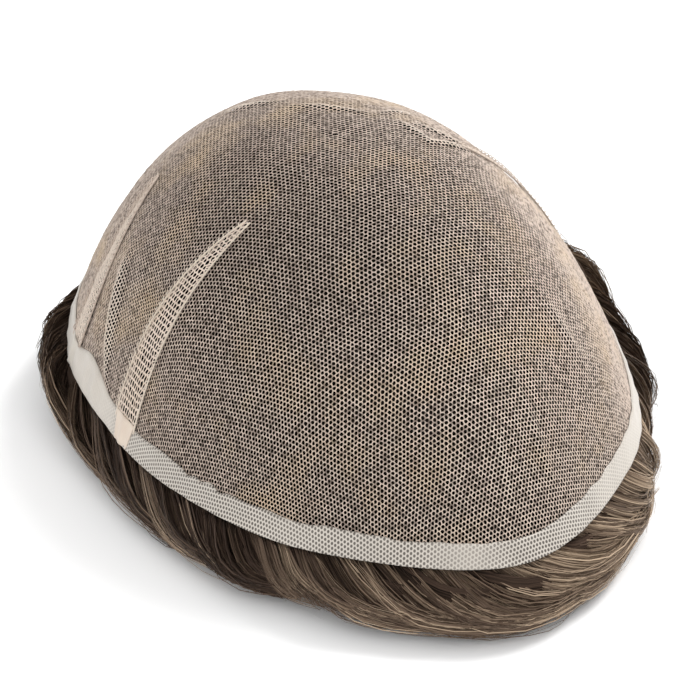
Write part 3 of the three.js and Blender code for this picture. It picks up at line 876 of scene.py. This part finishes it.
def ribbon_width(azimuth, rim):
    """How wide the ribbon is round the rim, with its bulge and the nicks in its inner edge."""
    waves = ripple(rim, wavelength=9 * mm, seed=31) + ripple(rim, wavelength=30 * mm, seed=32)
    nicks = sum(hump(azimuth, at, nick_width) for at in nick_azimuths)
    bulge = bulge_height * hump(azimuth, bulge_azimuth, bulge_width)
    return band_width + edge_waver * waves - nick_depth * nicks + bulge


def ribbon_thinness(azimuth, rim):
    """How thin the ribbon is round the rim, from 0 where it hides the net to 1."""
    thin = smooth_step(azimuth, *thin_from) + (1 - smooth_step(azimuth, *thin_to)) * (azimuth < 180)
    uneven = thin_mean + thin_waver * ripple(rim, wavelength=25 * mm, seed=34)
    return np.clip(thin * uneven + thin_least, 0, 1)


def edge_band():
    """The ribbon round the rim: hemmed at both edges, uneven at its inner edge, puckered at the left."""
    columns = 720
    azimuth = np.arange(columns) * 360 / columns
    rim = rim_point(azimuth)
    round_rim = azimuth[:, None]
    broad = ribbon_width(azimuth, rim)[:, None]
    across = np.array([1, 0.94, 0.86, 0.7, 0.5, 0.3, 0.14, 0.06, 0.0])
    share = share_up(round_rim, broad * across)
    place = dome_surface(round_rim, share, 0.0)
    arch = np.sin(math.pi * across) ** pucker_fullness
    pucker = arch * sum(p["high"] * hump(round_rim, p["at"], p["wide"]) for p in puckers)
    sway = band_waver * ripple(place, wavelength=8 * mm, seed=33) + pucker
    hem = band_hem * (hump(across, 0, hem_width) + hump(across, 1, hem_width))
    hem = hem * smooth_step(1 - across, 0, hem_start)
    wall = band_wall * mix(edge_wall, 1, smooth_step(1 - across, 0, hem_width))
    outer = dome_surface(round_rim, share, band_seat + wall + hem + sway)
    inner_share = share_up(round_rim, broad * np.array([0.0, 0.5, 1.0]))
    inner = dome_surface(round_rim, inner_share, band_seat)
    rings = np.concatenate([outer, inner], axis=1)
    shares = np.concatenate([share, inner_share], axis=1)
    sides = rings.shape[1]
    faces = grid_faces(columns, sides, closed=True)
    last = (columns - 1) * sides
    j = np.arange(sides)
    seam = np.stack([last + j, last + (j + 1) % sides, (j + 1) % sides, j], axis=1)
    cloth = dome_to_cloth(round_rim + 0 * shares, shares).reshape(-1, 2) / net_pitch
    faces = np.vstack([faces, seam])
    values = {"thin": np.repeat(ribbon_thinness(azimuth, rim), sides)}
    return mesh_piece("ribbon_band", rings, faces, ribbon, ["edge_band"], values=values, uv=cloth)


def dart_place(dart, along, across):
    """Azimuth and share of a point on a dart; along runs from 0 at the band to 1 at its tip."""
    low = share_up(dart["rim"], band_width + band_gap)
    azimuth = dart_turn(dart, along)
    share = mix(low, dart["tip_share"], along)
    per_degree = np.linalg.norm(dome_point(azimuth + 0.5, share) - dome_point(azimuth - 0.5, share), axis=-1)
    return azimuth + across / per_degree, share


def dart_half_width(along):
    """Half the width of a dart along it."""
    return mix(dart_width, dart_tip_width, np.clip(along, 0, 1) ** dart_fullness) / 2


def dart_length(dart):
    """The length of a dart from the band to its tip."""
    along = np.linspace(0, 1, 30)
    points = dome_point(*dart_place(dart, along, 0 * along))
    return float(np.linalg.norm(np.diff(points, axis=0), axis=1).sum())


def dart_net(dart):
    """The doubled lace of a dart, with long slots between its threads."""
    length = dart_length(dart)
    weave = bold_net if dart["bold"] else plain_net
    pitch, slot = weave["pitch"], weave["slot"]
    flat, faces, peak, knot = hex_net(dart_width, length * 1.2, pitch, pitch * slot, 0, weave["thread"])
    flat = flat + [0, length / 2]
    along = flat[:, 1] / length
    keep = (along > -0.01) & (along < 1.0) & (np.abs(flat[:, 0]) < dart_half_width(along) + dart_selvage)
    rng = np.random.default_rng(41)
    tone = rng.beta(*doubled_tones, knot.max() + 1)[knot]
    flat, faces, along, peak, tone, knot = kept(flat, faces, keep, along, peak, tone, knot)
    stray = rng.normal(scale=dart_waver, size=(knot.max() + 1, 2))[knot]
    azimuth, share = dart_place(dart, along + stray[:, 1] / length, flat[:, 0] + stray[:, 0])
    lift = dart_lift + peak * thread_rise + dart_swell * ripple(flat, wavelength=9 * mm, seed=42)
    points = dome_surface(azimuth, share, lift)
    name = dart["name"]
    thread = doubled_thread if dart["bold"] else lace_thread
    values = {"tone": tone, "fold": 0 * tone + (0.0 if dart["bold"] else 0.5)}
    piece = mesh_piece(name + "_net", points, faces, thread, [name], values=values)
    return piece, (dart_width, length), flat_area(flat[faces])


def dart_stitches(dart):
    """The corded edges of a dart and the stitches that hold them down."""
    length = dart_length(dart)
    along = np.linspace(-0.02, 1.0, 60)
    starts = np.arange(0.01, 0.97, stitch_step / length)
    lean = np.linspace(0, 1, 5)
    stitch_along = starts[:, None] + lean * stitch_slant * stitch_step / length
    reach = dart_half_width(stitch_along) + mix(-stitch_bite, stitch_bite, lean)
    arch = dart_lift + stitch_seat + stitch_arch * np.sin(math.pi * lean)
    parts = []
    for side in (-1, 1):
        azimuth, share = dart_place(dart, along, side * dart_half_width(along))
        parts.append(tube(dome_surface(azimuth, share, dart_lift + cord_radius * cord_seat), cord_radius))
        azimuth, share = dart_place(dart, stitch_along, side * reach)
        parts.append(tube(dome_surface(azimuth, share, arch), stitch_radius, 4))
    points, faces = joined(parts)
    cord = bright_cord if dart["bold"] else lace_cord
    return mesh_piece(dart["name"] + "_stitches", points, faces, cord, [dart["name"]])


def dart_foot(dart):
    """The folded patch where a dart crosses the band."""
    rows, columns = 9, 17
    up = np.linspace(0.0, foot_top, rows)
    across = np.linspace(-1, 1, columns)
    wide = dart_width / 2 * mix(foot_narrow, foot_broad, up)
    per_degree = np.linalg.norm(rim_point(dart["rim"] + 0.5) - rim_point(dart["rim"] - 0.5))
    azimuth = dart["rim"] + across[None] * wide[:, None] / per_degree
    share = share_up(azimuth, band_width * up[:, None])
    lift = band_seat + band_wall + band_hem + foot_gap
    edge = np.clip(1 - np.abs(across), 0, foot_edge) / foot_edge
    crown_of_fold = (0.25 * np.cos(across * 5) + 0.2) * mm
    outer = dome_surface(azimuth, share, lift + crown_of_fold * edge)
    inner = dome_surface(azimuth, share, lift - foot_wall)
    size = rows * columns
    front = grid_faces(rows, columns)
    grid = np.arange(size).reshape(rows, columns)
    border = np.concatenate([grid[0], grid[1:, -1], grid[-1, -2::-1], grid[-2:0:-1, 0]])
    ahead = np.roll(border, -1)
    rim_faces = np.stack([border, border + size, ahead + size, ahead], axis=1)
    faces = np.vstack([front, front[:, ::-1] + size, rim_faces])
    points = np.vstack([outer.reshape(-1, 3), inner.reshape(-1, 3)])
    folded = peach_fold if dart["bold"] else ivory_fold
    return mesh_piece(dart["name"] + "_foot", points, faces, folded, [dart["name"]])


# Hair


def beside_rim(azimuth, out, z):
    """Points beside the rim: out is level, away from the cap, and z is from the floor."""
    rim = rim_point(azimuth)
    along = rim_point(azimuth + 1) - rim_point(azimuth - 1)
    away = unit(np.stack([along[..., 1], -along[..., 0], 0 * out], axis=-1))
    return np.stack([rim[..., 0], rim[..., 1], z], axis=-1) + away * out[..., None] + cap_middle


def under_the_rim(azimuth, out, z):
    """Keeps hair clear of the lace and the band, and above the floor."""
    rim = rim_height + rim_point(azimuth)[..., 2]
    above = z - rim
    inside = out < -rim_inset
    wall = -wall_inset - wall_lean * np.maximum(above + rim_margin, 0)
    out = np.where(inside & (above > -rim_margin), np.minimum(out, wall), out)
    ceiling = rim - rim_margin + ceiling_slope * np.maximum(out - ceiling_start, 0)
    z = np.where(inside, z, np.minimum(z, ceiling))
    low = floor_clearance
    return out, np.where(z < 2 * low, low + low * np.exp((z - 2 * low) / low), z)


def lock_knots(lock, hooked=False):
    """The knots of hair routes, a row of them for each value in the lock's columns: arc, out and height."""
    at, sweep, belly, belly_rise, tip, tip_rise, _, hook, hook_out, hook_rise, flow, puff = (
        np.atleast_1d(lock[key]) for key in lock_columns
    )
    at = at - (flow - sweep) * flow_shift
    per_degree = np.linalg.norm(rim_point(at + 0.5) - rim_point(at - 0.5), axis=-1)
    rim = rim_height + rim_point(at)[:, 2]
    arc = flow * per_degree
    fall = (belly + tip) / 2
    fall_rise = mix(belly_rise, tip_rise, fall_share)
    neck = arc * (strand_neck_share if hooked else neck_share)
    belly_up = belly_rise + np.maximum(puff, 0) * puff_lift
    rows = [
        (0 * arc, -root_in + 0 * arc, rim + root_up),
        (neck, -neck_depth + 0 * arc, rim - neck_drop),
        (arc * belly_share, (belly + puff) * lock_reach, belly_up * rim_height),
        (arc * fall_share, fall * lock_reach, fall_rise * rim_height),
        (arc, tip * lock_reach, tip_rise * rim_height),
    ]
    if hooked:
        rows.append((arc + hook * per_degree, hook_out * lock_reach, hook_rise * rim_height))
    return np.stack([np.stack(row, axis=-1) for row in rows], axis=1), at, per_degree


def lock_route(lock, t, hooked=False):
    """Along locks: their middles, sideways and outward directions, as arc, out and height."""
    knots, at, per_degree = lock_knots(lock, hooked)
    count = knots.shape[1]
    t = np.broadcast_to(t, (len(knots), t.shape[-1]))
    before, middle, after = (
        np.einsum("nmk,nkd->nmd", through(np.eye(count), (t + step) * (count - 1)), knots)
        for step in (-route_step, 0, route_step)
    )
    tangent = unit(after - before)
    side = unit(np.cross(tangent, [0, 1.0, 0]))
    return middle, side, unit(np.cross(side, tangent)), at, per_degree


def lock_taper(t):
    """How wide a lock is along its length, as a share."""
    swell = mix(root_share, 1, smooth_step(t, 0, belly_share))
    return swell * mix(1, point_bluntness, smooth_step(t, point_start, 1))


def placed(at, per_degree, spots):
    """Rows of arc, out and height beside each root as points in the frame."""
    azimuth = at[:, None] + spots[..., 0] / per_degree[:, None]
    out, z = under_the_rim(azimuth, spots[..., 1], spots[..., 2])
    return beside_rim(azimuth, out, z)


def share_grown(azimuth):
    """How much of their length the locks that grow at azimuths have; it falls at the notch in front."""
    return 1 - notch_depth * hump(np.asarray(azimuth) % 360, notch_azimuth, notch_width)


def hair_tone_and_light(azimuth):
    """How much paler the hair that grows at azimuths is: partly its own colour, partly painted light."""
    return np.interp(np.asarray(azimuth) % 360, *np.transpose(hair_tone_and_light_table))


def grid_uv(u, v):
    """Surface coordinates for a grid of points, from rows and columns of them."""
    return np.stack(np.broadcast_arrays(u, v), axis=-1).reshape(-1, 2)


def lock_body(lock):
    """The dark core of a lock, slimmer than the solid that it stands for."""
    sections, sides = body_sections, body_sides
    t = np.linspace(0, 1, sections)
    middle, side, outward, at, per_degree = lock_route(lock, t * share_grown(lock["at"]))
    turn = np.arange(sides) * 2 * math.pi / sides
    wide = lock_width * lock["wide"] * lock_taper(t) / 2 * body_slim
    thick = lock_thickness * np.sqrt(lock_taper(t)) / 2 * body_flat
    ring = (
        side[0][:, None] * (np.cos(turn)[None] * wide[:, None])[..., None]
        + outward[0][:, None] * (np.sin(turn)[None] * thick[:, None])[..., None]
    )
    spots = middle[0][:, None] - outward[0][:, None] * body_sunk + ring
    points = placed(at, per_degree, spots.reshape(1, -1, 3)).reshape(-1, 3)
    faces = grid_faces(sections, sides, closed=True)
    caps = []
    for ring_start in (0, (sections - 1) * sides):
        for j in range(1, sides - 1, 2):
            caps.append([ring_start, ring_start + j, ring_start + j + 1, ring_start + (j + 2) % sides])
    uv = grid_uv(turn[None] * streaks_round, t[:, None] * streaks_along)
    return points, np.vstack([faces, np.array(caps)]), uv


def root_strip(start, end):
    """The strip of hair roots inside the rim, as a closed wall."""
    columns = int(end - start) + 1
    azimuth = np.linspace(start, end, columns)[:, None]
    share = share_up(azimuth, backing_width * np.linspace(0, 1, 6))
    outer = dome_surface(azimuth, share, -crown_hair_depth)
    inner = dome_surface(azimuth, share[:, ::-1], -crown_hair_depth - crown_hair_wall * 0.9)
    rings = np.concatenate([outer, inner], axis=1)
    sides = rings.shape[1]
    faces = grid_faces(columns, sides, closed=True)
    caps = []
    for ring_start in (0, (columns - 1) * sides):
        for j in range(sides // 2 - 1):
            near, far = ring_start + j, ring_start + sides - 1 - j
            caps.append([near, near + 1, far - 1, far])
    uv = grid_uv(azimuth * root_streaks[0], np.arange(sides)[None] * root_streaks[1])
    return rings.reshape(-1, 3), np.vstack([faces, np.array(caps)]), uv


def hair_mass_piece(name, group, locks):
    """The roots and the dark cores of a group of locks, with painted shade at the roots."""
    parts = [root_strip(group["start"], group["end"])] + [lock_body(lock) for lock in locks]
    points, faces = joined([(p, f) for p, f, _ in parts])
    uv = np.vstack([u + streak_offset * number for number, (_, _, u) in enumerate(parts)])
    # Painted shade: the root strip and the lock roots keep the near-black copy, and the ends turn to the lit
    # one
    ends = smooth_step(np.linspace(0, 1, body_sections), *body_shade_fade)
    paler = body_paleness + hair_tone_and_light([lock["at"] for lock in locks])
    shown = np.repeat(paler[:, None] * ends, body_sides, axis=1)
    tone = np.concatenate([np.zeros(len(parts[0][0])), shown.ravel()])
    return mesh_piece(name + "_mass", points, faces, hair_mass, [name], values={"tone": tone}, uv=uv)


def tress_table(group, locks, rng):
    """The tresses of a group: where each grows, its route's columns, its lock's middle, depth and tone."""
    ordered = sorted(locks, key=lambda lock: lock["at"])
    known = np.array([lock["at"] for lock in ordered])
    span = group["end"] - group["start"]
    count = int(span * tresses_per_degree)
    at = group["start"] + span * (np.arange(count) + rng.uniform(0, 1, count)) / count
    tress = {"at": at}
    for key in lock_columns[1:]:
        tress[key] = np.interp(at, known, [lock[key] for lock in ordered])
        tress[key] = tress[key] + rng.normal(0, 1, count) * tress_stray.get(key, 0)
    nearest = known[np.abs(at[:, None] - known[None]).argmin(axis=1)]
    tress["off_middle"] = at - nearest
    tress["layer"] = np.clip(rng.beta(*tress_layers, count), 0.05, 1)
    # Partly painted light: each tress takes the paleness that the table gives by azimuth
    tress["tone"] = hair_tone_and_light(at) + rng.normal(0, tress_tone_spread, count)
    tress["reach"] = rng.uniform(*tress_reach, count) * share_grown(at)
    tress["phase"] = 2 * math.pi * (at / wave_spacing + rng.normal(0, wave_spread, count))
    return tress


def group_strands(group, locks, rng):
    """Strand routes of a group, gathered in tresses, with the way that each faces and its tone."""
    count = group["strands"]
    table = tress_table(group, locks, rng)
    pick = rng.integers(0, len(table["at"]), count)
    tress = {key: value[pick] for key, value in table.items()}
    start = rng.uniform(0.0, root_spread, count)
    end = tress["reach"] - np.minimum(rng.exponential(short_mean, count), short_most)
    t = mix(start[:, None], end[:, None], np.linspace(0, 1, strand_points)[None])
    middle, side, outward, at, per_degree = lock_route(tress, t, hooked=True)
    off = tress["off_middle"] / lock_spacing
    lump = np.sqrt(np.clip(1 - lock_curving * off**2, 0.1, 1))
    taper = lock_taper(np.clip(t * 1.15, 0, 1))
    thick = lock_thickness * np.sqrt(taper) / 2
    layer = np.clip(tress["layer"] + rng.normal(0, layer_spread, count), -0.2, layer_most)
    closing = smooth_step(t, closing_start, 1)
    across = rng.normal(0, tress_fill, count)[:, None] * tress_width * mix(1, tress_point, closing)
    across = across - (tress["off_middle"] * per_degree)[:, None] * tress_gather * closing
    swing = smooth_step(t, *wave_start)
    phase = tress["phase"][:, None]
    across = across + wave_across["high"] * np.sin(wave_across["turns"] * math.pi * t + phase) * swing
    deep = (layer * lump)[:, None] * thick
    deep = deep + wave_deep["high"] * np.cos(wave_deep["turns"] * math.pi * t + phase) * swing
    flyaway = rng.random(count) < flyaway_share
    strays = rng.exponential(fray, count) + flyaway * rng.uniform(*flyaway_reach, count)
    own = rng.uniform(0, 2 * math.pi, (count, 2))
    fraying = strays[:, None] * smooth_step(t, 0.2, 1.0)
    across = across + fraying * np.sin(4 * t + own[:, :1])
    deep = deep + fraying * np.cos(3 * t + own[:, 1:])
    spots = middle + side * across[..., None] + outward * deep[..., None]
    points = placed(at, per_degree, spots)
    facing = placed(at, per_degree, spots + outward * mm) - points
    return points, facing, strand_tones(tress["tone"], layer * lump, rng)


def strand_tones(tress_tone, depth, rng):
    """Tones along strands: the deeper ones are darkened with painted shade, and their ends are paler than
    their roots.
    """
    count = len(depth)
    bright = rng.random(count) < bright_share
    tone = tone_base + tress_tone + rng.normal(0, tone_spread, count)
    tone = tone + bright * rng.uniform(*bright_lift, count)
    # Painted shade darkens the strands that lie deep in a lock
    painted_depth_shade = deep_painted_shade * np.clip(deep_below - depth, 0, 1)
    along = np.linspace(-0.5, 0.5, strand_points)
    return np.clip((tone - painted_depth_shade)[:, None] + end_paleness * along, 0, 1)


def strand_piece(name, node, routes, facing, tone, rng):
    """One mesh of flat tapering strands along their routes."""
    count, length, _ = routes.shape
    tangent = unit(np.gradient(routes, axis=1))
    across = unit(np.cross(tangent, facing))
    lift = np.cross(across, tangent)
    roll = rng.normal(0, strand_roll, count)[:, None, None]
    across = across * np.cos(roll) + lift * np.sin(roll)
    along = np.linspace(0, 1, length)
    width = mix(strand_width, strand_tip_width, smooth_step(along, thinning_start, 1.0))
    width = width[None, :, None] * rng.uniform(*strand_widths, count)[:, None, None]
    points = np.stack([routes - across * width / 2, routes + across * width / 2], axis=2)
    faces = grid_faces(length, 2)
    faces = (faces[None] + np.arange(count)[:, None, None] * length * 2).reshape(-1, 4)
    tones = np.repeat(tone[..., None], 2, axis=2)
    return mesh_piece(name, points, faces, hair_strands, [node], values={"tone": tones})


def hair_group(name, group):
    """The dark mass and the strands of one group of locks."""
    locks = [dict(zip(lock_columns, row)) for row in group["locks"]]
    hair_mass_piece(name, group, locks)
    rng = np.random.default_rng(int(group["start"]))
    routes, facing, tone = group_strands(group, locks, rng)
    strand_piece(name + "_strands", name, routes, facing, tone, rng)


def crown_hair():
    """The dark hair that lies against the inside of the lace, all in the hair mass's near-black copy:
    painted shade.
    """
    columns, rows = 120, 40
    azimuth = np.arange(columns)[None] * 360 / columns
    share = share_up(azimuth, backing_width + band_gap) * np.linspace(0, 1, rows)[:, None]
    flat = dome_to_cloth(azimuth + 0 * share, share)
    combed = crown_combing * ripple(flat * [1, 0.25], wavelength=5 * mm, seed=51)
    outer = dome_surface(azimuth, share, -crown_hair_depth + combed)
    inner = dome_surface(azimuth, share, -crown_hair_depth - crown_hair_wall + combed)
    rings = np.concatenate([outer, inner[::-1]], axis=0)
    uv = np.concatenate([flat, flat[::-1]], axis=0).reshape(-1, 2) / mm * crown_streaks
    faces = grid_faces(2 * rows, columns, closed=True)
    return mesh_piece("hair_crown_layer", rings, faces, hair_mass, ["hair_crown"], uv=uv)


# Stage


def pale_floor():
    """A wide pale floor under the hair."""
    half = 3.0
    points = [(-half, -half, 0), (half, -half, 0), (half, half, 0), (-half, half, 0)]
    mesh = bpy.data.meshes.new("floor")
    mesh.from_pydata(points, [], [(0, 1, 2, 3)])
    material, _, shader = new_material("pale floor", roughness=0.9)
    shader.inputs["Base Color"].default_value = floor_white
    mesh.materials.append(material)
    floor = bpy.data.objects.new("floor", mesh)
    bpy.context.scene.collection.objects.link(floor)


def soft_light(name, place, size, power):
    """A square soft light aimed at the cap."""
    lamp = bpy.data.lights.new(name, "AREA")
    lamp.size = size
    lamp.energy = power
    holder = bpy.data.objects.new(name, lamp)
    holder.location = place
    aim = Vector((0, 0, rim_height)) - Vector(place)
    holder.rotation_euler = aim.to_track_quat("-Z", "Y").to_euler()
    bpy.context.scene.collection.objects.link(holder)


def studio():
    """Even white surroundings with soft lights from above."""
    world = bpy.data.worlds.new("studio")
    world.use_nodes = True
    world.node_tree.nodes["Background"].inputs["Color"].default_value = (1, 1, 1, 1)
    world.node_tree.nodes["Background"].inputs["Strength"].default_value = world_strength
    bpy.context.scene.world = world
    for light in lights:
        soft_light(**light)
    bpy.context.scene.view_settings.view_transform = "Standard"
    pale_floor()


def make_camera():
    """The camera at the photograph's view of the cap."""
    data = bpy.data.cameras.new("camera")
    data.sensor_width = camera_sensor
    data.lens = camera_lens
    data.clip_end = 20
    camera = bpy.data.objects.new("camera", data)
    turn = Matrix.Rotation(camera_azimuth, 4, "Z") @ Matrix.Rotation(math.pi / 2 - camera_elevation, 4, "X")
    turn = turn @ Matrix.Rotation(camera_roll, 4, "Z")
    away = turn @ Vector((0, 0, camera_distance))
    aim = Vector(cap_middle) + Vector((0, 0, rim_height)) + aim_from_rim
    camera.matrix_world = Matrix.Translation(aim + away) @ turn
    bpy.context.scene.collection.objects.link(camera)
    bpy.context.scene.camera = camera


make_camera()
studio()
nets = lace_net()
band = edge_band()
crown_hair()
for dart in darts:
    net, flat_size, thread_area = dart_net(dart)
    sewn = [dart_stitches(dart), dart_foot(dart)]
for number, (piece, flat_size, thread_area) in enumerate(nets):
    sewn = [band] if number == 1 else []
for group_name, group in lock_groups.items():
    hair_group(group_name, group)
